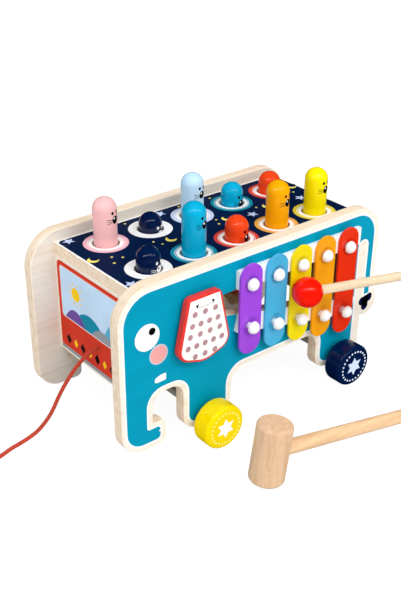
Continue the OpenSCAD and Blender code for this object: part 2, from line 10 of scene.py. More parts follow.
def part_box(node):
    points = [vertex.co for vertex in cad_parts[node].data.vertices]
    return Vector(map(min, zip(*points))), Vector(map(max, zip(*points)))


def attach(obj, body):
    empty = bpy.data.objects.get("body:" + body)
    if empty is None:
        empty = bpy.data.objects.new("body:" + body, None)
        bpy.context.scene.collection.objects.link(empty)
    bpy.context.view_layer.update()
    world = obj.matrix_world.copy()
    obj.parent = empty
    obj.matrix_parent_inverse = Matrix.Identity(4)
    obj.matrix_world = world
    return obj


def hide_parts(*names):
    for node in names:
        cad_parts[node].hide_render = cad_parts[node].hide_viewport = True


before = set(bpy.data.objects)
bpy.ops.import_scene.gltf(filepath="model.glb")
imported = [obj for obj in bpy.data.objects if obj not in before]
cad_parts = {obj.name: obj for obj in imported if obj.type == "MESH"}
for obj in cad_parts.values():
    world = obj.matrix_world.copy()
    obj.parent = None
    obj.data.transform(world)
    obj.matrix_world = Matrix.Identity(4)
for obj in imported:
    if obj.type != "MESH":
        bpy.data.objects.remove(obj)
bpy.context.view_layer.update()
MM = 0.001

# Studio
# A glowing white floor and an even white surround, with broad soft lights overhead and in front and a
# long strip light that draws a thin line on every glossy dome, as for a catalogue picture.
plain_white = (1, 1, 1, 1)
sheet_half = 4.0


def tint(red, green, blue):
    """The linear colour for a shader, from screen values between 0 and 255."""
    shares = [value / 255 for value in (red, green, blue)]
    return (*[s / 12.92 if s <= 0.04045 else ((s + 0.055) / 1.055) ** 2.4 for s in shares], 1.0)


def new_finish(name, **sockets):
    """A material and its shader, with sockets such as base_color set by name."""
    material = bpy.data.materials.new(name)
    material.use_nodes = True
    shader = material.node_tree.nodes["Principled BSDF"]
    for key, value in sockets.items():
        socket = "Specular IOR Level" if key == "specular" else key.replace("_", " ").title()
        shader.inputs[socket].default_value = value
    return material, shader


def link_objects(*objects):
    for made in objects:
        bpy.context.scene.collection.objects.link(made)


def piece_from(mesh, name, *materials):
    """Makes a bmesh a piece of the scene, at the origin."""
    data = bpy.data.meshes.new(name)
    mesh.to_mesh(data)
    mesh.free()
    for material in materials:
        data.materials.append(material)
    made = bpy.data.objects.new(name, data)
    link_objects(made)
    return made


def add_node(material, kind, feeds=None, **settings):
    """A shader node with its settings, and with its inputs set or linked."""
    made = material.node_tree.nodes.new("ShaderNode" + kind)
    for key, value in settings.items():
        setattr(made, key, value)
    for key, value in (feeds or {}).items():
        if isinstance(value, bpy.types.NodeSocket):
            material.node_tree.links.new(value, made.inputs[key])
        else:
            made.inputs[key].default_value = value
    return made


def level_sheet(height):
    """A wide level square, at a height in metres."""
    mesh = bmesh.new()
    at = Matrix.Translation((0, 0, height))
    bmesh.ops.create_grid(mesh, x_segments=1, y_segments=1, size=sheet_half, matrix=at)
    return mesh


def staged(name, mesh, glow=1.0, base=(0, 0, 0, 1)):
    """Glowing paper that belongs to the stage and that no gloss shows, with its material and shader."""
    paper, shader = new_finish(
        name + "_paper", base_color=base, roughness=0.9, specular=0.0,
        emission_color=plain_white, emission_strength=glow,
    )
    made = piece_from(mesh, name, paper)
    made.visible_glossy = False
    return made, paper, shader


# The floor that is seen, which takes the toy's soft shade
floor_glow, floor_grey = 0.93, tint(110, 110, 110)
floor, _, _ = staged("floor", level_sheet(0), floor_glow, floor_grey)
floor.visible_diffuse = False

# The light that the floor sends back to the toy, dim in an oval under the box
bounce_height = -0.001
bounce, bounce_paper, bounce_shader = staged("floor_bounce", level_sheet(bounce_height))
bounce.visible_camera = False
oval_middle, oval_half = (0, 0.03, 0), (0.125, 0.09, 1)
dim_inside, bright_outside, dimmest = 0.75, 1.25, 0.06
oval = {
    "Vector": add_node(bounce_paper, "TexCoord").outputs["Object"],
    "Location": oval_middle,
    "Scale": oval_half,
}
from_oval = add_node(bounce_paper, "Mapping", oval, vector_type="TEXTURE").outputs["Vector"]
reach = add_node(bounce_paper, "VectorMath", {0: from_oval}, operation="LENGTH").outputs["Value"]
dimmed = {"Value": reach, "From Min": dim_inside, "From Max": bright_outside, "To Min": dimmest}
dimmed = add_node(bounce_paper, "MapRange", dimmed).outputs["Result"]
bounce_paper.node_tree.links.new(dimmed, bounce_shader.inputs["Emission Strength"])

# A white wall all round, so that a low view ends in white too; it lights nothing
wall_reach, wall_height = 3.9, 6.0
round_wall = bmesh.new()
bmesh.ops.create_cone(
    round_wall, cap_ends=False, segments=64, radius1=wall_reach, radius2=wall_reach, depth=wall_height
)
wall, _, _ = staged("wall", round_wall)
wall.visible_diffuse = False
wall.visible_shadow = False

surround_glow = 0.5
surround = bpy.data.worlds.new("surround")
surround.use_nodes = True
surround_light = surround.node_tree.nodes["Background"].inputs
surround_light["Color"].default_value = plain_white
surround_light["Strength"].default_value = surround_glow
bpy.context.scene.world = surround
surround.cycles_visibility.glossy = False
bpy.context.scene.view_settings.view_transform = "Standard"


def soft_light(name, place, aim, width, height, power, mirrored=False):
    """An area light at a place, facing a point, with its width level; gloss shows it if mirrored."""
    lamp = bpy.data.lights.new(name, "AREA")
    lamp.shape = "RECTANGLE"
    lamp.size = width
    lamp.size_y = height
    lamp.energy = power
    made = bpy.data.objects.new(name, lamp)
    made.location = place
    made.rotation_euler = (Vector(aim) - Vector(place)).to_track_quat("-Z", "Y").to_euler()
    made.visible_glossy = mirrored
    link_objects(made)


toy_middle = (0, 0, 0.08)
soft_light("overhead_light", (0.0, 0.0, 2.3), toy_middle, 2.4, 2.4, 8)
soft_light("broad_light", (-0.1, -2.29, 2.0), toy_middle, 2.4, 2.0, 28)
soft_light("strip_light", (-0.44, -0.86, 1.23), toy_middle, 4.6, 0.05, 20, mirrored=True)

# The camera: its focal length and the row of its axis in pixels, its place in mm, its angles in degrees
image_height = 601
focal_pixels = 960.85
axis_row = 313.3
camera_place = Vector((-424.28, -509.35, 433.56)) * MM
camera_azimuth, camera_elevation, camera_roll = (math.radians(a) for a in (-38.955, 29.491, 0.298))
back = Vector((
    math.sin(camera_azimuth) * math.cos(camera_elevation),
    -math.cos(camera_azimuth) * math.cos(camera_elevation),
    math.sin(camera_elevation),
))
lens = bpy.data.cameras.new("camera")
lens.sensor_width = 36
lens.lens = lens.sensor_width * focal_pixels / image_height
lens.shift_y = (axis_row - image_height / 2) / image_height
lens.clip_start = 0.01
camera = bpy.data.objects.new("camera", lens)
facing = (-back).to_track_quat("-Z", "Y").to_matrix().to_4x4()
camera.matrix_world = Matrix.Translation(camera_place) @ facing @ Matrix.Rotation(camera_roll, 4, "Z")
link_objects(camera)
bpy.context.scene.camera = camera

# Pull cord
# A limp braided cord, 3 mm thick, knotted behind the front board and led out through its hole. Its
# spare length lies in a small tied coil, and a turned bead held by a second knot is the pull.


def ramp(material, factor, *stops):
    """The colour of a ramp through stops, each a position and a colour."""
    made = add_node(material, "ValToRGB", {"Fac": factor})
    while len(made.color_ramp.elements) < len(stops):
        made.color_ramp.elements.new(1.0)
    for element, (position, colour) in zip(made.color_ramp.elements, stops):
        element.position = position
        element.color = colour
    return made.outputs["Color"]


def streaks(material, size, turn=(0, 0, 0), detail=3.0):
    """Noise whose patches have a size in metres along each axis of a turned frame."""
    place = add_node(material, "TexCoord").outputs["Object"]
    frame_of = add_node(
        material, "Mapping", {"Vector": place, "Rotation": turn, "Scale": size}, vector_type="TEXTURE"
    )
    noise = {"Vector": frame_of.outputs["Vector"], "Scale": 1.0, "Detail": detail}
    return add_node(material, "TexNoise", noise).outputs["Fac"]


def shade(colour, share):
    """A lighter or darker shade of a colour."""
    return (*[min(1.0, part * share) for part in colour[:3]], 1.0)


def roughen(material, shader, height, strength, depth):
    """Raises the surface by a height from 0 to 1, depth in metres."""
    bump = add_node(material, "Bump", {"Height": height, "Strength": strength, "Distance": depth})
    material.node_tree.links.new(bump.outputs["Normal"], shader.inputs["Normal"])


def braid(name, colour, strands_along, strands_round):
    """Two sets of strands that cross on the cord's own length and girth."""
    material, shader = new_finish(name, roughness=0.75, sheen_weight=0.1)
    parts = add_node(material, "SeparateXYZ", {"Vector": add_node(material, "TexCoord").outputs["UV"]})
    sets = []
    for lean in (-1, 1):
        along = add_node(material, "Math", {0: parts.outputs["X"], 1: strands_along},
                         operation="MULTIPLY")
        round_it = add_node(material, "Math", {0: parts.outputs["Y"], 1: lean * strands_round},
                            operation="MULTIPLY")
        phase = add_node(material, "Math", {0: along.outputs[0], 1: round_it.outputs[0]}, operation="ADD")
        angle = add_node(material, "Math", {0: phase.outputs[0], 1: math.tau}, operation="MULTIPLY")
        sets.append(add_node(material, "Math", {0: angle.outputs[0]}, operation="SINE").outputs[0])
    crossed = add_node(material, "Math", {0: sets[0], 1: sets[1]}, operation="MAXIMUM")
    height = add_node(material, "MapRange", {"Value": crossed.outputs[0], "From Min": -0.5})
    # The grooves between the strands are coloured darker: painted shade
    colours = ramp(material, height.outputs["Result"], (0.0, shade(colour, 0.7)), (0.7, colour))
    material.node_tree.links.new(colours, shader.inputs["Base Color"])
    roughen(material, shader, height.outputs["Result"], strength=0.6, depth=0.0003)
    return material


front_low, front_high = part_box("front_end_board")
cord_radius = 1.5
board_face = front_low.x / MM
hole_y, hole_z = -2, 69
cord_exit = (board_face, hole_y, hole_z)
cord_start = (front_high.x / MM, hole_y, hole_z)
# The route from the board's face to the coil, X from that face
cord_route = [
    (-5, -2, 68.2), (-10, -1, 65.6), (-15, 0, 61.4), (-20, 1, 56), (-25, 2, 49.4),
    (-29.5, 3, 42.4), (-33, 4.5, 35), (-36, 6, 27.5), (-39, 8.5, 20), (-43, 11, 13),
    (-48, 13, 7.5), (-54, 14.5, 4), (-61, 15, 2), (-69, 14, 1.6), (-79, 11, 1.6),
    (-89, 8.5, 1.9), (-94, 8, 2.3), (-97, 8, 2.3),
]
cord_points = [Vector(cord_start), Vector(cord_exit)]
cord_points += [Vector((board_face + x, y, z)) for x, y, z in cord_route]

coil_step, coil_inner, coil_turns, rings_a_turn = 3.5, 12.5, 4, 24
coil_reverse = coil_turns / 2 + 0.25
coil_lead = 2 * cord_radius


def coil_radius(turn):
    return coil_inner + coil_step * abs(turn - coil_reverse)


coil_middle = cord_points[-1] + Vector((-coil_lead, coil_radius(0), 0))
for ring in range(coil_turns * rings_a_turn + 1):
    turn = ring / rings_a_turn
    layer = min(1, max(0, 2 * turn - coil_turns))
    round_it = Vector((-math.sin(math.tau * turn), -math.cos(math.tau * turn), 0))
    cord_points.append(coil_middle + coil_radius(turn) * round_it + Vector((0, 0, coil_step * layer)))

bead_radius, tail_length, tail_steps = 8, 15, 6
coil_last = cord_points[-1].copy()
for step in range(1, tail_steps + 1):
    share = step / tail_steps
    rise = (bead_radius - coil_last.z) * (1 - math.cos(math.pi * share)) / 2
    cord_points.append(coil_last + Vector((-tail_length * share, 0, rise)))
bead_far = Vector((coil_last.x - tail_length - coil_lead - 2 * bead_radius, coil_last.y, bead_radius))
cord_points.append(bead_far)


def soft_line(name, points, radius, material, closed=False):
    """A round cord along points in millimetres, on one smooth spline."""
    curve = bpy.data.curves.new(name, "CURVE")
    curve.dimensions = "3D"
    curve.bevel_depth = radius * MM
    curve.bevel_resolution = 3
    curve.resolution_u = 4
    curve.use_fill_caps = True
    spline = curve.splines.new("BEZIER")
    spline.use_cyclic_u = closed
    spline.bezier_points.add(len(points) - 1)
    for knot, point in zip(spline.bezier_points, points):
        knot.co = Vector(point) * MM
        knot.handle_left_type = knot.handle_right_type = "AUTO"
    curve.materials.append(material)
    made = bpy.data.objects.new(name, curve)
    link_objects(made)
    return made


cord_red = tint(205, 62, 34)
cord_braid = braid("cord_braid", cord_red, strands_along=330, strands_round=2)
cord = soft_line("braided_cord", cord_points, cord_radius, cord_braid)
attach(cord, "frame")
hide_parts("pull_cord", "cord_coil")


def overhand_knot(name, face, way):
    """A tight knot of the same cord, bearing on a face; way is the side it lies on along X."""
    reach, strand, steps = 2.1, 1.05, 36
    off_face, sway = 2.1, 0.55
    points = []
    for step in range(steps):
        t = math.tau * step / steps
        points.append((
            face.x + way * (off_face + sway * math.sin(3 * t)),
            face.y + reach / 3 * (math.sin(t) + 2 * math.sin(2 * t)),
            face.z + reach / 3 * (math.cos(t) - 2 * math.cos(2 * t)),
        ))
    strands = braid(name + "_braid", cord_red, strands_along=24, strands_round=2)
    return soft_line(name, points, strand, strands, closed=True)


knots = [
    overhand_knot("board_knot", cord_points[0], 1),
    overhand_knot("pull_knot", bead_far, -1),
]
for knot, node in zip(knots, ("cord_knot", "bead_knot")):
    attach(knot, "frame")
    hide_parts(node)


def eased_copy(name, node, radius, *materials, flat_area=40, sharp_angle=40, steps=3, reshape=None):
    """A copy of a node with its sharp edges rounded over; faces over flat_area (mm2) stay flat."""
    mesh = bmesh.new()
    mesh.from_mesh(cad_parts[node].data)
    bmesh.ops.remove_doubles(mesh, verts=mesh.verts, dist=1e-6)
    bmesh.ops.dissolve_limit(mesh, angle_limit=math.radians(0.5), verts=mesh.verts, edges=mesh.edges)
    if reshape:
        reshape(mesh)
    sharp = [e for e in mesh.edges if e.calc_face_angle(0) > math.radians(sharp_angle)]
    bmesh.ops.bevel(mesh, geom=sharp, offset=radius * MM, offset_type="OFFSET", affect="EDGES",
                    segments=steps, profile=0.5, material=-1, clamp_overlap=True)
    for face in mesh.faces:
        face.smooth = face.calc_area() < flat_area * MM * MM
    made = piece_from(mesh, name, *materials)
    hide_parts(node)
    return made


tie_black, tie_shader = new_finish("tie_web", base_color=tint(30, 30, 32), roughness=0.8)
web_size, tie_edge = 0.0006, 0.2
webbing = streaks(tie_black, (web_size, web_size, web_size))
roughen(tie_black, tie_shader, webbing, strength=0.6, depth=0.0003)
tie = eased_copy("coil_tie", "cord_tie", tie_edge, tie_black)
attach(tie, "frame")


def multiply(material, one, other, share=1.0):
    """One colour darkened by another."""
    feeds = {0: share, 6: one, 7: other}
    return add_node(material, "Mix", feeds, data_type="RGBA", blend_type="MULTIPLY").outputs[2]


def grain_size(along, length, width):
    """The size in metres of a mark in the grain, which runs along one axis."""
    return tuple(length if way else width for way in along)


def solid_wood(name, pale, deep, along, fleck_share, turn=(0, 0, 0)):
    """Plain straight-grained wood: long streaks, short dark flecks and a satin finish."""
    material, shader = new_finish(name, roughness=0.45, specular=0.25)
    figure = streaks(material, grain_size(along, length=0.09, width=0.0035), turn)
    flecks = streaks(material, grain_size(along, length=0.004, width=0.00045), turn, detail=1.0)
    wood = ramp(material, figure, (0.3, pale), (0.5, shade(pale, 0.93)), (0.72, deep))
    marks = ramp(material, flecks, (0.28, shade(deep, 0.8)), (0.4, plain_white))
    colours = multiply(material, wood, marks, fleck_share)
    material.node_tree.links.new(colours, shader.inputs["Base Color"])
    roughen(material, shader, flecks, strength=0.15, depth=0.0002)
    return material


def dress(node, material):
    """Gives a frame node a finish."""
    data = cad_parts[node].data
    data.materials.clear()
    data.materials.append(material)


bead_beech = solid_wood("bead_beech", tint(238, 202, 160), tint(206, 160, 112), (1, 0, 0), 0.5)
dress("pull_bead", bead_beech)

# Side panels
# Two 9 mm birch plywood boards sawn to one outline, their arrises rounded over by a router. Each outer
# face is screen printed with a blue elephant that has a white line round it; the near one has a window.
board_t = 9
plies = 3


def plywood(name, axis, face, inward, grain=(1, 0, 0), back=(0.86, 0.86, 0.86, 1)):
    """Birch plywood with its thickness along an axis, a face at that place (m) and its grain's way.

    Inward is the axis's sign on the board's back, whose veneer the colour back darkens as painted shade
    for the inside of the box.
    """
    material, shader = new_finish(name, roughness=0.55, specular=0.2)
    surface = add_node(material, "TexCoord").outputs
    waves = math.tau * plies / (board_t * MM)
    waves_a_scale, square_on, pore_share = 20, 0.93, 0.35
    layers = add_node(
        material, "TexWave",
        {
            "Vector": surface["Object"],
            "Scale": waves / waves_a_scale,
            "Phase Offset": (math.pi - waves * face) % math.tau,
        },
        wave_type="BANDS", bands_direction=axis,
    )
    glue = ramp(
        material, layers.outputs["Fac"], (0.0, tint(250, 244, 236)), (0.42, tint(250, 244, 236)),
        (0.5, tint(242, 230, 214)), (0.58, plain_white),
    )
    figure = streaks(material, grain_size(grain, length=0.12, width=0.005))
    fibres = streaks(material, grain_size(grain, length=0.03, width=0.0005), detail=2.0)
    sawn = ramp(
        material, figure, (0.3, tint(251, 238, 221)), (0.55, tint(246, 229, 207)),
        (0.75, tint(235, 212, 186)),
    )
    veneer = ramp(
        material, figure, (0.3, tint(250, 244, 233)), (0.55, tint(245, 236, 222)),
        (0.75, tint(234, 221, 202)),
    )
    turned = add_node(material, "SeparateXYZ", {"Vector": surface["Normal"]}).outputs[axis]
    flat = add_node(material, "Math", {0: turned}, operation="ABSOLUTE").outputs[0]
    face_share = add_node(material, "MapRange", {"Value": flat, "From Min": square_on}).outputs["Result"]
    wood = {0: face_share, 6: multiply(material, sawn, glue), 7: veneer}
    wood = add_node(material, "Mix", wood, data_type="RGBA").outputs[2]
    pores = ramp(material, fibres, (0.3, tint(234, 219, 200)), (0.5, plain_white))
    colours = multiply(material, wood, pores, pore_share)
    # The back face is darkened by the colour back: painted shade for the inside of the box
    behind = {"Value": turned, "From Min": square_on * inward, "From Max": inward}
    behind = add_node(material, "MapRange", behind).outputs["Result"]
    colours = multiply(material, colours, back, behind)
    material.node_tree.links.new(colours, shader.inputs["Base Color"])
    roughen(material, shader, fibres, strength=0.12, depth=0.0002)
    return material


def ink(name, colour):
    """Screen ink on wood: almost even, with the fibres showing faintly through."""
    material, shader = new_finish(name, roughness=0.5, specular=0.03)
    cloud = streaks(material, (0.06, 0.02, 0.02))
    fibres = streaks(material, (0.02, 0.0006, 0.0006), detail=2.0)
    colours = ramp(material, cloud, (0.3, shade(colour, 0.94)), (0.7, shade(colour, 1.05)))
    material.node_tree.links.new(colours, shader.inputs["Base Color"])
    roughen(material, shader, fibres, strength=0.1, depth=0.0002)
    return material


def rounded_patch(corners):
    """A flat polygon from corners (x, y, rounding), anticlockwise, in millimetres."""
    shape = bmesh.new()
    verts = [shape.verts.new((x * MM, y * MM, 0)) for x, y, _ in corners]
    shape.faces.new(verts)
    for vert, (_, _, rounding) in zip(verts, corners):
        if rounding:
            bmesh.ops.bevel(shape, geom=[vert], offset=rounding * MM, offset_type="OFFSET",
                            affect="VERTICES", segments=8, profile=0.5, material=-1)
    return shape


def lined(shape, width):
    """Gives the shape's rim, that wide in millimetres, the next ink."""
    rim = bmesh.ops.inset_region(
        shape, faces=shape.faces[:], thickness=width * MM, use_even_offset=True, use_boundary=True
    )
    for face in rim["faces"]:
        face.material_index = 1
    return shape


def discs(places, radius):
    """Flat round dots at places, in millimetres."""
    shape = bmesh.new()
    for x, y in places:
        at = Matrix.Translation((x * MM, y * MM, 0))
        bmesh.ops.create_circle(shape, cap_ends=True, segments=40, radius=radius * MM, matrix=at)
    return shape


def cut_hole(shape, corners):
    """Cuts a hole with straight sides, corners anticlockwise in millimetres, out of a flat shape."""
    corners = [Vector((x * MM, y * MM, 0)) for x, y in corners]
    sides = list(zip(corners, corners[1:] + corners[:1]))
    for start, end in sides:
        everything = shape.verts[:] + shape.edges[:] + shape.faces[:]
        outward = (end - start).cross(Vector((0, 0, 1)))
        bmesh.ops.bisect_plane(shape, geom=everything, plane_co=start, plane_no=outward)
    inside = [
        face for face in shape.faces
        if all((end - start).cross(face.calc_center_median() - start).z > 0 for start, end in sides)
    ]
    bmesh.ops.delete(shape, geom=inside, context="FACES")
    return shape


def merge_into(target, shape):
    """Moves a finished shape into a print."""
    data = bpy.data.meshes.new("stamp")
    shape.to_mesh(data)
    shape.free()
    target.from_mesh(data)
    bpy.data.meshes.remove(data)


def stamp(target, shape, height, first_ink):
    """Adds a flat shape to a print as a plate of that height (mm), its inks counted from first_ink."""
    for face in shape.faces:
        face.material_index += first_ink
    raised = bmesh.ops.extrude_face_region(shape, geom=shape.faces[:])["geom"]
    upper = [part for part in raised if isinstance(part, bmesh.types.BMVert)]
    bmesh.ops.translate(shape, verts=upper, vec=(0, 0, height * MM))
    bmesh.ops.recalc_face_normals(shape, faces=shape.faces)
    merge_into(target, shape)


def lay_on(target, right, up, origin):
    """Turns a print drawn in X and Y so that X runs right and Y runs up on a face."""
    columns = Matrix((right, up, Vector(right).cross(Vector(up)))).transposed()
    bmesh.ops.transform(target, matrix=Matrix.Translation(origin) @ columns.to_4x4(), verts=target.verts)


film, second_film, third_film, fourth_film = 0.06, 0.11, 0.16, 0.21
white_line, panel_round = 1.5, 1.2
# The outer edge of the elephant's white line, X and Z, with the rounding of each corner
elephant_corners = [
    (-127, 16, 15.5), (-95.5, 16, 5), (-95.5, 29.5, 4.5), (-107, 29.5, 0.5), (-107, 59, 13),
    (-72.5, 59, 13), (-72.5, 16, 9.5), (-35, 16, 9.5), (-35, 52, 14.5), (60.5, 52, 14.5),
    (60.5, 16, 9.5), (98.5, 16, 10.5), (98.5, 114, 4.2), (107, 114, 4.2), (107, 63.5, 0),
    (115.5, 63.5, 0), (115.5, 139, 21.5), (-127, 139, 23.5),
]
window_corners = [(-43.8, 97.7), (88, 69.3), (88, 114.6), (-43.8, 114.6)]
tusk_corners = [
    (-91.5, 65, 0.8), (-91.5, 70.4, 0.2), (-97.6, 70.6, 3.5), (-101.8, 67.8, 2.2), (-100.6, 64.8, 2.2),
]
tuft_lobes, lobe_r = [(107.2, 59), (114.8, 60.6), (110.6, 53.9), (111, 59.6), (110.8, 57)], 3.8
eye_at, eye_r = (-106.5, 104), 10.2
pupil_at, pupil_r = (-102.5, 107.5), 2.8
cheek_at, cheek_r, cheek_rim = (-97.5, 87.5), 7.8, 0.9
nostril_at, nostril_r = (-97.4, 23.8), 0.8
# The inks in the order of elephant_inks; the cheek's rim takes the one after the cheek's
body_ink, line_ink, cheek_ink, _, pupil_ink, tuft_ink = range(6)


def elephant_print(window):
    """The elephant on a panel's outer face, drawn in X and Z; window has the corners of its hole."""
    target = bmesh.new()
    body = lined(rounded_patch(elephant_corners), white_line)
    if window:
        cut_hole(body, window)
    stamp(target, body, film, body_ink)
    stamp(target, discs([eye_at], eye_r), second_film, line_ink)
    stamp(target, discs([nostril_at], nostril_r), second_film, line_ink)
    stamp(target, rounded_patch(tusk_corners), second_film, line_ink)
    stamp(target, lined(discs([cheek_at], cheek_r), cheek_rim), third_film, cheek_ink)
    stamp(target, discs([pupil_at], pupil_r), third_film, pupil_ink)
    stamp(target, discs(tuft_lobes, lobe_r), film, tuft_ink)
    return target


panel_low, panel_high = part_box("near_side_panel")
elephant_inks = [
    ink("elephant_blue", tint(0, 151, 184)), ink("line_white", tint(250, 252, 252)),
    ink("cheek_pink", tint(236, 166, 164)), ink("cheek_line", tint(190, 205, 215)),
    ink("pupil_black", tint(8, 8, 10)), ink("tuft_navy", tint(4, 20, 60)),
]
for side, inward, window in (("near", 1, window_corners), ("far", -1, None)):
    panel_ply = plywood(side + "_panel_ply", "Y", inward * panel_low.y, inward)
    panel = eased_copy(side + "_elephant_board", side + "_side_panel", panel_round, panel_ply)
    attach(panel, "frame")
    elephant = elephant_print(window)
    lay_on(elephant, (1, 0, 0), (0, 0, 1), (0, panel_low.y, 0))
    if side == "far":
        across = Matrix.Scale(-1, 4, (0, 1, 0))
        bmesh.ops.transform(elephant, matrix=across, verts=elephant.verts)
        bmesh.ops.reverse_faces(elephant, faces=elephant.faces)
    printed = piece_from(elephant, side + "_elephant_print", *elephant_inks)
    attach(printed, "frame")

# Deck
# The plywood board that the moles come up through, printed as a night sky on white primer with a pair
# of rings round each hole. A thinner pierced board is glued under it and guides the pegs.
deck_low, deck_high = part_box("top_board")
deck_ply = plywood("deck_ply", "Z", deck_high.z, -1)
mole_rows = {"back": 26.2, "front": -26.2}
mole_columns = [-80, -40, 0, 40, 80]
mole_holes = [(x, y) for x in mole_columns for y in mole_rows.values()]
hole_r, board_edge = 10.2, 0.4


def pierced_patch(corners, holes, radius):
    """A rounded patch with round holes."""
    shape = rounded_patch(corners)
    bmesh.ops.delete(shape, geom=shape.faces[:], context="FACES_ONLY")
    for x, y in holes:
        at = Matrix.Translation((x * MM, y * MM, 0))
        bmesh.ops.create_circle(shape, cap_ends=False, segments=48, radius=radius * MM, matrix=at)
    bmesh.ops.triangle_fill(shape, use_beauty=True, edges=shape.edges[:])
    return shape


def rings(x, y, outer, bands):
    """Bands of ink round a hole, from the outside in, each with its width and its ink."""
    shape = discs([(x, y)], outer)
    middle = shape.faces[:]
    for width, ink_index in bands:
        rim = bmesh.ops.inset_region(
            shape, faces=middle, thickness=width * MM, use_even_offset=True, use_boundary=True
        )
        for face in rim["faces"]:
            face.material_index = ink_index
    bmesh.ops.delete(shape, geom=middle, context="FACES")
    return shape


def star(x, y, outer, inner, points, turn):
    """A flat star; turn is the direction of its first point, in degrees."""
    shape = bmesh.new()
    made = bmesh.ops.create_circle(shape, cap_ends=True, segments=2 * points, radius=outer * MM)
    for index, vert in enumerate(made["verts"]):
        if index % 2:
            vert.co *= inner / outer
    first = made["verts"][0].co
    swing = math.radians(turn) - math.atan2(first.y, first.x)
    at = Matrix.Translation((x * MM, y * MM, 0)) @ Matrix.Rotation(swing, 4, "Z")
    bmesh.ops.transform(shape, matrix=at, verts=shape.verts)
    return shape


def rectangle(low, high, rounding):
    """Corners of a rectangle, all rounded alike."""
    return [(low[0], low[1], rounding), (high[0], low[1], rounding),
            (high[0], high[1], rounding), (low[0], high[1], rounding)]


board = eased_copy("deck_board", "top_board", board_edge, deck_ply)
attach(board, "frame")
# The guide board inside the box is a darker wood than the panels: painted shade
dress("guide_board", solid_wood("guide_shaded_wood", tint(206, 176, 136), tint(184, 150, 108), (1, 0, 0), 0.5))

ring_colours = {
    "pink": tint(240, 186, 198), "navy": tint(246, 246, 246), "sky": tint(196, 208, 236),
    "teal": tint(16, 140, 165), "red": tint(208, 70, 56), "orange": tint(228, 164, 62),
    "yellow": tint(228, 208, 60),
}
mole_colours = {
    "back": ["pink", "navy", "sky", "teal", "red"],
    "front": ["navy", "teal", "red", "orange", "yellow"],
}
deck_inks = [
    ink("primer_white", tint(252, 252, 250)), ink("night_navy", tint(0, 26, 66)),
    ink("star_blue", tint(200, 215, 250)), ink("moon_yellow", tint(240, 225, 110)),
]
primer_ink, night_ink, star_ink, moon_ink = range(len(deck_inks))
first_ring_ink = len(deck_inks)
sky = bmesh.new()
low = (deck_low.x / MM + board_edge, deck_low.y / MM + board_edge)
high = (deck_high.x / MM - board_edge, deck_high.y / MM - board_edge)
stamp(sky, pierced_patch(rectangle(low, high, 0), mole_holes, hole_r), film, primer_ink)
primer = 1.2
low = (low[0] + primer, low[1] + primer)
high = (high[0] - primer, high[1] - primer)
stamp(sky, pierced_patch(rectangle(low, high, 4), mole_holes, hole_r), second_film, night_ink)
for x, y in ((-100, 45), (-18, 44), (38, -1), (90, 0), (-103, -38)):
    stamp(sky, star(x, y, outer=5, inner=2.2, points=5, turn=100), third_film, star_ink)
# Each moon is a disc with a smaller one of the night's ink over it
moon_r, cover_r, cover_right, cover_up = 4.2, 3.4, 1.9, 1.4
for x, y in ((-103, 8), (-39, 2), (17, 5), (58, 4), (101, 22), (-20, -46), (62, 46)):
    stamp(sky, discs([(x, y)], moon_r), third_film, moon_ink)
    stamp(sky, discs([(x + cover_right, y + cover_up)], cover_r), fourth_film, night_ink)
specks = [
    (-90, 4), (-84, -1), (-94, -5), (-52, 6), (-49, -1), (6, 1), (9, 8), (49, 7), (52, -2), (94, 12),
    (-50, 45), (2, 46), (32, 44), (60, -46), (-62, -46),
]
speck_r = 1
stamp(sky, discs(specks, speck_r), third_film, moon_ink)
for name, colour in ring_colours.items():
    deck_inks.append(ink(name + "_ring", colour))
ring_r, broad_band, gap, fine_band = 16.8, 2.9, 0.4, 0.7
inner_band = ring_r - broad_band - gap - fine_band - hole_r
for row, y in mole_rows.items():
    for x, name in zip(mole_columns, mole_colours[row]):
        coloured = first_ring_ink + list(ring_colours).index(name)
        bands = (
            (broad_band, coloured), (gap, primer_ink), (fine_band, coloured), (inner_band, primer_ink)
        )
        stamp(sky, rings(x, y, ring_r, bands), third_film, primer_ink)
lay_on(sky, (1, 0, 0), (0, 1, 0), (0, 0, deck_high.z))
night = piece_from(sky, "deck_print", *deck_inks)
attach(night, "frame")

# End boards
# Plywood boards glued between the panels. The front one has the cord's hole and a bright printed
# picture of hills under a sun, above a red band with a row of diamonds; the rear one is bare.
# The end boards' backs face the inside of the box and are darkened much more: painted shade
painted_shade_back = tint(150, 120, 92)
rear_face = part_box("rear_end_board")[1].x
for node, face, inward in (("front_end_board", front_low.x, 1), ("rear_end_board", rear_face, -1)):
    end_ply = plywood(node + "_layers", "X", face, inward, grain=(0, 1, 0), back=painted_shade_back)
    end_board = eased_copy(node + "_ply", node, board_edge, end_ply)
    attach(end_board, "frame")

# The inks in the order of picture_inks; the sky's rim takes the one after the sky's
band_ink, sky_ink, _, sun_ink, teal_ink, violet_ink, blue_ink, ground_ink, bar_ink = range(9)
picture = bmesh.new()
picture_half, picture_low, picture_high = 49, 47, 122
sky_low, frame_line, sky_rim = 76, 3.5, 0.6
hole_at, hole_rim = (-hole_y, hole_z), 2.05
band = rectangle((-picture_half, picture_low), (picture_half, picture_high), 5)
stamp(picture, pierced_patch(band, [hole_at], hole_rim), film, band_ink)
sky_half, sky_high = picture_half - frame_line, picture_high - frame_line
pale_sky = rounded_patch(rectangle((-sky_half, sky_low), (sky_half, sky_high), 3))
stamp(picture, lined(pale_sky, sky_rim), second_film, sky_ink)
sun_x, sun_z, sun_r = -25, 101, 5.5
ray_ring, ray_r, ray_count = 8.5, 0.9, 10
stamp(picture, discs([(sun_x, sun_z)], sun_r), third_film, sun_ink)
ray_angles = [math.tau * k / ray_count for k in range(ray_count)]
rays = [(sun_x + ray_ring * math.cos(a), sun_z + ray_ring * math.sin(a)) for a in ray_angles]
stamp(picture, discs(rays, ray_r), third_film, sun_ink)
hill_foot = sky_low + 1
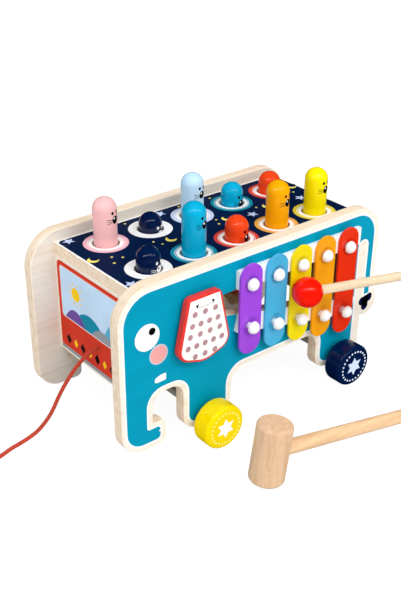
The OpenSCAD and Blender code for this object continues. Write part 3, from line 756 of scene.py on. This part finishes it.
# Each hill: middle, half width, rise above the sky's lower edge, ink, height of its film
for middle, half, peak, hill_ink, height in (
    (-8, 22, 24, teal_ink, 0.16), (24, 17, 29, blue_ink, 0.16), (-27, 14, 17, violet_ink, 0.2),
    (9, 15, 15, ground_ink, 0.24),
):
    hill = [(middle - half, hill_foot, 0), (middle + half, hill_foot, 0), (middle, sky_low + peak, half)]
    stamp(picture, rounded_patch(hill), height, hill_ink)
# A row of diamonds, large and small by turns
diamond_step, diamond_z = 9.6, 58
for k in range(-4, 5):
    tall, wide, diamond_ink = (3.6, 2.55, sun_ink) if k % 2 else (4.6, 3.25, bar_ink)
    diamond = star(diamond_step * k, diamond_z, tall, wide, points=2, turn=90)
    stamp(picture, diamond, second_film, diamond_ink)
ground_high = 50
ground = rectangle((-picture_half, picture_low), (picture_half, ground_high), 1)
stamp(picture, rounded_patch(ground), second_film, ground_ink)
lay_on(picture, (0, -1, 0), (0, 0, 1), (front_low.x, 0, 0))
picture_inks = [
    ink("band_red", tint(214, 60, 40)), ink("sky_pale", tint(196, 224, 250)),
    ink("sky_line", tint(246, 214, 204)), ink("sun_yellow", tint(250, 206, 30)),
    ink("hill_teal", tint(20, 140, 170)), ink("hill_violet", tint(110, 80, 160)),
    ink("hill_blue", tint(90, 175, 214)), ink("ground_grey", tint(150, 155, 162)),
    ink("bar_black", tint(20, 18, 20)),
]
front_picture = piece_from(picture, "front_picture", *picture_inks)
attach(front_picture, "frame")

# See-saws
# Inside the box each pair of pegs stands on a beech see-saw, so that one mole rises as the other is
# struck. The five see-saws turn on one steel rod, kept apart by short wooden tubes.


def steel(name, axis_sizes):
    """Drawn steel, dull and zinc grey, with fine lines along its length."""
    material, shader = new_finish(name, metallic=0.35, roughness=0.35)
    lines = streaks(material, axis_sizes, detail=2.0)
    colours = ramp(material, lines, (0.3, tint(196, 193, 188)), (0.7, tint(222, 219, 214)))
    material.node_tree.links.new(colours, shader.inputs["Base Color"])
    roughen(material, shader, lines, strength=0.1, depth=0.0001)
    return material


# The see-saws' beech is darker than the turned parts' beech: painted shade for the inside of the box
rocker_shaded_beech = solid_wood("rocker_shaded_beech", tint(206, 172, 128), tint(178, 140, 96), (0, 1, 0), 0.5)
turned_pale, turned_deep = tint(240, 214, 178), tint(214, 178, 134)
spacer_beech = solid_wood("spacer_beech", turned_pale, turned_deep, (1, 0, 0), 0.5)
seesaw_round = 0.6
for column in range(1, len(mole_columns) + 1):
    rocker = eased_copy(f"seesaw_{column}", f"rocker_{column}", seesaw_round, rocker_shaded_beech, flat_area=100)
    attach(rocker, f"rocker_{column}")
dress("rod_spacers", spacer_beech)
dress("rocker_rod", steel("rod_steel", (0.02, 0.0004, 0.0004)))

# Moles
# Ten turned pegs with round ends, dipped in gloss paint. Each has a small face printed on it: two eyes,
# a round nose with a glint and three whiskers a side.


def enamel(name, colour, polish=0.15, gloss=0.3):
    """Gloss paint on turned wood, a little uneven; a lower gloss and a higher polish value make satin."""
    material, shader = new_finish(name, roughness=polish, specular=gloss)
    cloud = streaks(material, (0.016, 0.016, 0.024))
    fibres = streaks(material, (0.0008, 0.0008, 0.02), detail=2.0)
    colours = ramp(material, cloud, (0.3, shade(colour, 0.96)), (0.7, shade(colour, 1.04)))
    material.node_tree.links.new(colours, shader.inputs["Base Color"])
    roughen(material, shader, fibres, strength=0.018, depth=0.0002)
    return material


mole_paints = {
    "pink": tint(253, 193, 193), "navy": tint(2, 24, 66), "sky": tint(192, 228, 255),
    "teal": tint(4, 170, 213), "red": tint(246, 70, 24), "orange": tint(255, 170, 0),
    "yellow": tint(255, 233, 0),
}
paints = {name: enamel(name + "_enamel", colour) for name, colour in mole_paints.items()}
face_black = ink("face_black", tint(14, 12, 14))
face_white = ink("face_white", tint(248, 248, 248))
eye_drop, nose_drop = 10.2, 15.7
# Each mark: across and down from the peg's top, half width, half height, slant in degrees, ink
face_marks = [
    (0, nose_drop, 2.8, 3.1, 0, 0), (-0.9, nose_drop - 1.3, 0.75, 0.95, 0, 1),
    *[(side * 2.4, eye_drop, 1.15, 1.25, 0, 0) for side in (-1, 1)],
    *[
        (side * 5.1, nose_drop + 0.6 + 1.35 * step, 2.5, 0.22, -10 * step * side, 0)
        for side in (-1, 1) for step in (-1, 0, 1)
    ],
]
ink_height = 0.12


def mole_face(name, node, turn, inks):
    """Marks drawn flat as thin domes, then bent round a peg; turn is where the face looks, in degrees."""
    low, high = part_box(node)
    axis = (low + high) / 2
    radius = (high.x - low.x) / 2
    facing = Vector((math.sin(math.radians(turn)), -math.cos(math.radians(turn)), 0))
    beside = facing.cross(Vector((0, 0, -1)))
    mesh = bmesh.new()
    for across, down, half_w, half_h, slant, ink_index in face_marks:
        lift = 2 * ink_height if ink_index else ink_height
        leaning = Matrix.Rotation(math.radians(slant), 4, "Z")
        at = Matrix.Translation((across * MM, -down * MM, 0)) @ leaning
        sizes = Matrix.Diagonal((half_w * MM, half_h * MM, lift * MM, 1))
        before = len(mesh.faces)
        bmesh.ops.create_uvsphere(mesh, u_segments=20, v_segments=10, radius=1, matrix=at @ sizes)
        mesh.faces.ensure_lookup_table()
        for face in mesh.faces[before:]:
            face.material_index = ink_index
            face.smooth = True
    for vert in mesh.verts:
        swing = vert.co.x / radius
        out = facing * math.cos(swing) + beside * math.sin(swing)
        vert.co = Vector((axis.x, axis.y, high.z + vert.co.y)) + out * (radius + vert.co.z)
    return piece_from(mesh, name, *inks)


# The moles look a little less far round with each column
face_turn, turn_step = 25, 2.4
for row in mole_rows:
    for column, colour in enumerate(mole_colours[row], 1):
        node = f"{row}_mole_{column}"
        dress(node, paints[colour])
        inks = (face_white, face_black) if colour == "navy" else (face_black, face_white)
        face = mole_face(node + "_face", node, face_turn - turn_step * column, inks)
        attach(face, node)

# Key bars
# Five stamped metal bars in bright lacquer, with two dished holes each. They hang loosely on white
# mushroom pins that are pressed into two white plastic rails on the near panel.


def lacquer(name, colour):
    """Baked lacquer on metal: glossy, with a faint orange-peel surface."""
    material, shader = new_finish(name, roughness=0.2, specular=0.4)
    cloud = streaks(material, (0.02, 0.02, 0.03))
    peel = streaks(material, (0.0012, 0.0012, 0.0012), detail=1.0)
    colours = ramp(material, cloud, (0.3, shade(colour, 0.95)), (0.7, shade(colour, 1.04)))
    material.node_tree.links.new(colours, shader.inputs["Base Color"])
    roughen(material, shader, peel, strength=0.05, depth=0.0001)
    return material


def moulded(name, colour):
    """Moulded plastic with a fine satin surface."""
    material, shader = new_finish(name, roughness=0.3, specular=0.4)
    mottle = streaks(material, (0.004, 0.004, 0.004))
    colours = ramp(material, mottle, (0.3, shade(colour, 0.96)), (0.7, colour))
    material.node_tree.links.new(colours, shader.inputs["Base Color"])
    roughen(material, shader, streaks(material, (0.0005, 0.0005, 0.0005)), strength=0.06, depth=0.0001)
    return material


dish_rim, dish_floor, dish_deep = 7, 5.7, 0.7
slope_least, slope_most = 0.9, 0.99
key_edge = 0.5


def press_dishes(mesh):
    """Gives the hollow round each hole a flat floor and a steep wall, as a press leaves it."""
    sloped = [face for face in mesh.faces if slope_least < -face.normal.y < slope_most]
    bmesh.ops.delete(mesh, geom=sloped, context="FACES")
    front = min(vert.co.y for vert in mesh.verts)
    opened = [edge for edge in mesh.edges if edge.is_boundary]
    level = sum(edge.verts[0].co.z for edge in opened) / len(opened)
    for upper in (True, False):
        loop = [edge for edge in opened if (edge.verts[0].co.z > level) == upper]
        outer = [edge for edge in loop if edge.verts[0].co.y - front < dish_deep * MM / 2]
        inner = [edge for edge in loop if edge not in outer]
        rim = list({vert for edge in outer for vert in edge.verts})
        wall = bmesh.ops.extrude_edge_only(mesh, edges=outer)["geom"]
        foot = [part for part in wall if isinstance(part, bmesh.types.BMVert)]
        foot_edges = [part for part in wall if isinstance(part, bmesh.types.BMEdge)]
        foot_edges = [edge for edge in foot_edges if edge.is_boundary]
        spans = [[vert.co[axis] for vert in rim] for axis in (0, 2)]
        middle = Vector(((min(spans[0]) + max(spans[0])) / 2, 0, (min(spans[1]) + max(spans[1])) / 2))
        for verts, radius, depth in ((rim, dish_rim, 0), (foot, dish_floor, dish_deep)):
            for vert in verts:
                out = Vector((vert.co.x, 0, vert.co.z)) - middle
                vert.co = middle + out.normalized() * radius * MM
                vert.co.y = front + depth * MM
        bmesh.ops.bridge_loops(mesh, edges=foot_edges + inner)
    bmesh.ops.recalc_face_normals(mesh, faces=mesh.faces)


key_colours = {
    "purple": tint(158, 71, 220), "blue": tint(70, 175, 219), "yellow": tint(241, 219, 0),
    "orange": tint(243, 159, 0), "red": tint(229, 43, 0),
}
white_plastic = moulded("white_plastic", tint(250, 250, 250))
for number, (name, colour) in enumerate(key_colours.items(), 1):
    coat = lacquer(name + "_lacquer", colour)
    key = eased_copy(f"{name}_key", f"key_bar_{number}", key_edge, coat, reshape=press_dishes)
    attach(key, "frame")
for rail_name in ("upper", "lower"):
    rail = eased_copy(rail_name + "_white_rail", rail_name + "_rail", key_edge, white_plastic)
    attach(rail, "frame")
    dress(rail_name + "_key_pins", white_plastic)

# Ear
# A thick board painted red, with a white face and rows of pink dots printed inside the red rim. It
# hangs on a steel shoulder pin that turns in the panel, held inside by a glued wooden cap.
ear_low, ear_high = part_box("ear")
ear_middle = (ear_low.x + ear_high.x) / 2 / MM
ear_foot, ear_top = ear_low.z / MM, ear_high.z / MM
ear_round = 1.2
ear_board = eased_copy("ear_board", "ear", ear_round, enamel("ear_red", tint(226, 58, 52)))
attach(ear_board, "ear")
ear_print = bmesh.new()
# The white face is the hull of round corners: X from the ear's middle, height, radius
ear_corners = [(12.1, ear_top - 2.8, 0.8), (12, ear_foot + 14, 8.5), (0, ear_foot + 20, 17.9)]
white_face = bmesh.new()
for x, z, radius in ear_corners:
    for side in (-1, 1):
        for height in (0, film):
            at = Matrix.Translation(((ear_middle + side * x) * MM, z * MM, height * MM))
            bmesh.ops.create_circle(white_face, segments=64, radius=radius * MM, matrix=at)
bmesh.ops.convex_hull(white_face, input=white_face.verts)
loose = [vert for vert in white_face.verts if not vert.link_faces]
bmesh.ops.delete(white_face, geom=loose, context="VERTS")
inner_edges = [edge for edge in white_face.edges if not edge.link_faces]
bmesh.ops.delete(white_face, geom=inner_edges, context="EDGES")
bmesh.ops.recalc_face_normals(white_face, faces=white_face.faces)
merge_into(ear_print, white_face)
# The inks after the white face's, in the order of ear_inks
dot_ink, swing_ink, arrow_ink = range(1, 4)
ear_dot_r = 2.2
# Rows of dots: height above the ear's lower edge, how many, how far apart
for height, count, apart in ((40, 3, 9), (31.5, 4, 7.5), (23.5, 4, 8.7), (15, 5, 7.5), (6.5, 3, 8.8)):
    places = [(ear_middle + (k - (count - 1) / 2) * apart, ear_foot + height) for k in range(count)]
    stamp(ear_print, discs(places, ear_dot_r), second_film, dot_ink)
# The swing mark: a thin line with a solid head at each end
swing_half, swing_low, swing_high = 6.5, ear_foot + 44.2, ear_foot + 44.6
swing_line = rectangle((ear_middle - swing_half, swing_low), (ear_middle + swing_half, swing_high), 0)
stamp(ear_print, rounded_patch(swing_line), second_film, swing_ink)
tip_out = 8.4
# Each corner of a head: inwards from the tip, height above the ear's lower edge, rounding
head_corners = [(0, 46.6, 0.3), (2.8, 47.4, 0.3), (1.6, 44, 0.3)]
for side in (-1, 1):
    tip = ear_middle + side * tip_out
    head = [(tip - side * inwards, ear_foot + up, rounding) for inwards, up, rounding in head_corners]
    stamp(ear_print, rounded_patch(head if side < 0 else head[::-1]), second_film, arrow_ink)
lay_on(ear_print, (1, 0, 0), (0, 0, 1), (0, ear_low.y, 0))
ear_inks = [
    ink("ear_white", tint(252, 248, 244)), ink("dot_pink", tint(179, 137, 143)),
    ink("swing_grey", tint(150, 150, 154)), ink("swing_black", tint(20, 20, 24)),
]
dotted = piece_from(ear_print, "ear_print", *ear_inks)
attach(dotted, "ear")
dress("ear_pin", steel("ear_pin_steel", (0.0004, 0.02, 0.0004)))
dress("ear_pin_cap", solid_wood("cap_beech", turned_pale, turned_deep, (0, 1, 0), 0.5))

# Wheels
# Four turned wooden wheels, satin painted, pressed on two steel axles that run through the panels with
# a wooden spacer each side. A ring of dots and a six-pointed star are printed on each outer face.
satin_polish, satin_gloss = 0.16, 0.2
wheel_paints = {
    "yellow": (enamel("wheel_yellow", tint(255, 221, 0), satin_polish, satin_gloss),
               ink("wheel_pale_yellow", tint(255, 244, 130)), ink("wheel_white", tint(255, 255, 250))),
    "navy": (enamel("wheel_navy", tint(2, 24, 66), satin_polish, satin_gloss),
             ink("wheel_pale_blue", tint(222, 234, 252)), ink("wheel_ice", tint(206, 222, 250))),
}
wheel_colours = {
    "near_front": "yellow", "far_front": "navy", "near_rear": "navy", "far_rear": "yellow",
}
dot_ring, dot_r, dot_count = 12.8, 0.85, 24
ring_angles = [math.tau * k / dot_count for k in range(dot_count)]
dots = [(dot_ring * math.cos(a), dot_ring * math.sin(a)) for a in ring_angles]
dots_ink, middle_ink = range(2)
for place, colour in wheel_colours.items():
    node = place + "_wheel"
    paint, *print_inks = wheel_paints[colour]
    dress(node, paint)
    wheel_low, wheel_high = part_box(node)
    middle = (wheel_low + wheel_high) / 2
    side = -1 if place.startswith("near") else 1
    face_y = wheel_low.y if side < 0 else wheel_high.y
    print_mesh = bmesh.new()
    stamp(print_mesh, discs(dots, dot_r), film, dots_ink)
    stamp(print_mesh, star(0, 0, outer=8.2, inner=4.6, points=6, turn=90), film, middle_ink)
    lay_on(print_mesh, (-side, 0, 0), (0, 0, 1), (middle.x, face_y, middle.z))
    wheel_print = piece_from(print_mesh, node + "_print", *print_inks)
    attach(wheel_print, "front_wheels" if "front" in place else "rear_wheels")
axle_steel = steel("axle_steel", (0.0004, 0.02, 0.0004))
for axle in ("front_axle", "rear_axle"):
    dress(axle, axle_steel)
    dress(axle + "_spacers", spacer_beech)

# Hammer
# A turned beech head with rounded rims, bored for a slim tapered handle that is glued in. Both are
# only sanded and waxed, so the grain and its flecks show.
hammer_turn = math.radians(-6.8)
head_beech = solid_wood("head_beech", tint(234, 196, 158), tint(219, 176, 136), (0, 0, 1), 0.4)
handle_beech = solid_wood(
    "handle_beech", tint(244, 205, 160), tint(226, 182, 136), (1, 0, 0), 0.4, turn=(0, 0, hammer_turn)
)
dress("hammer_head", head_beech)
dress("hammer_handle", handle_beech)

# Mallet
# A turned ball in gloss red on a thin birch stick, for striking the key bars.
mallet_turn = math.radians(-18.8)
dress("mallet_ball", enamel("ball_red", tint(246, 20, 0)))
stick_birch = solid_wood(
    "stick_birch", tint(238, 215, 182), tint(220, 189, 146), (1, 0, 0), 0.4, turn=(0, 0, mallet_turn)
)
dress("mallet_stick", stick_birch)
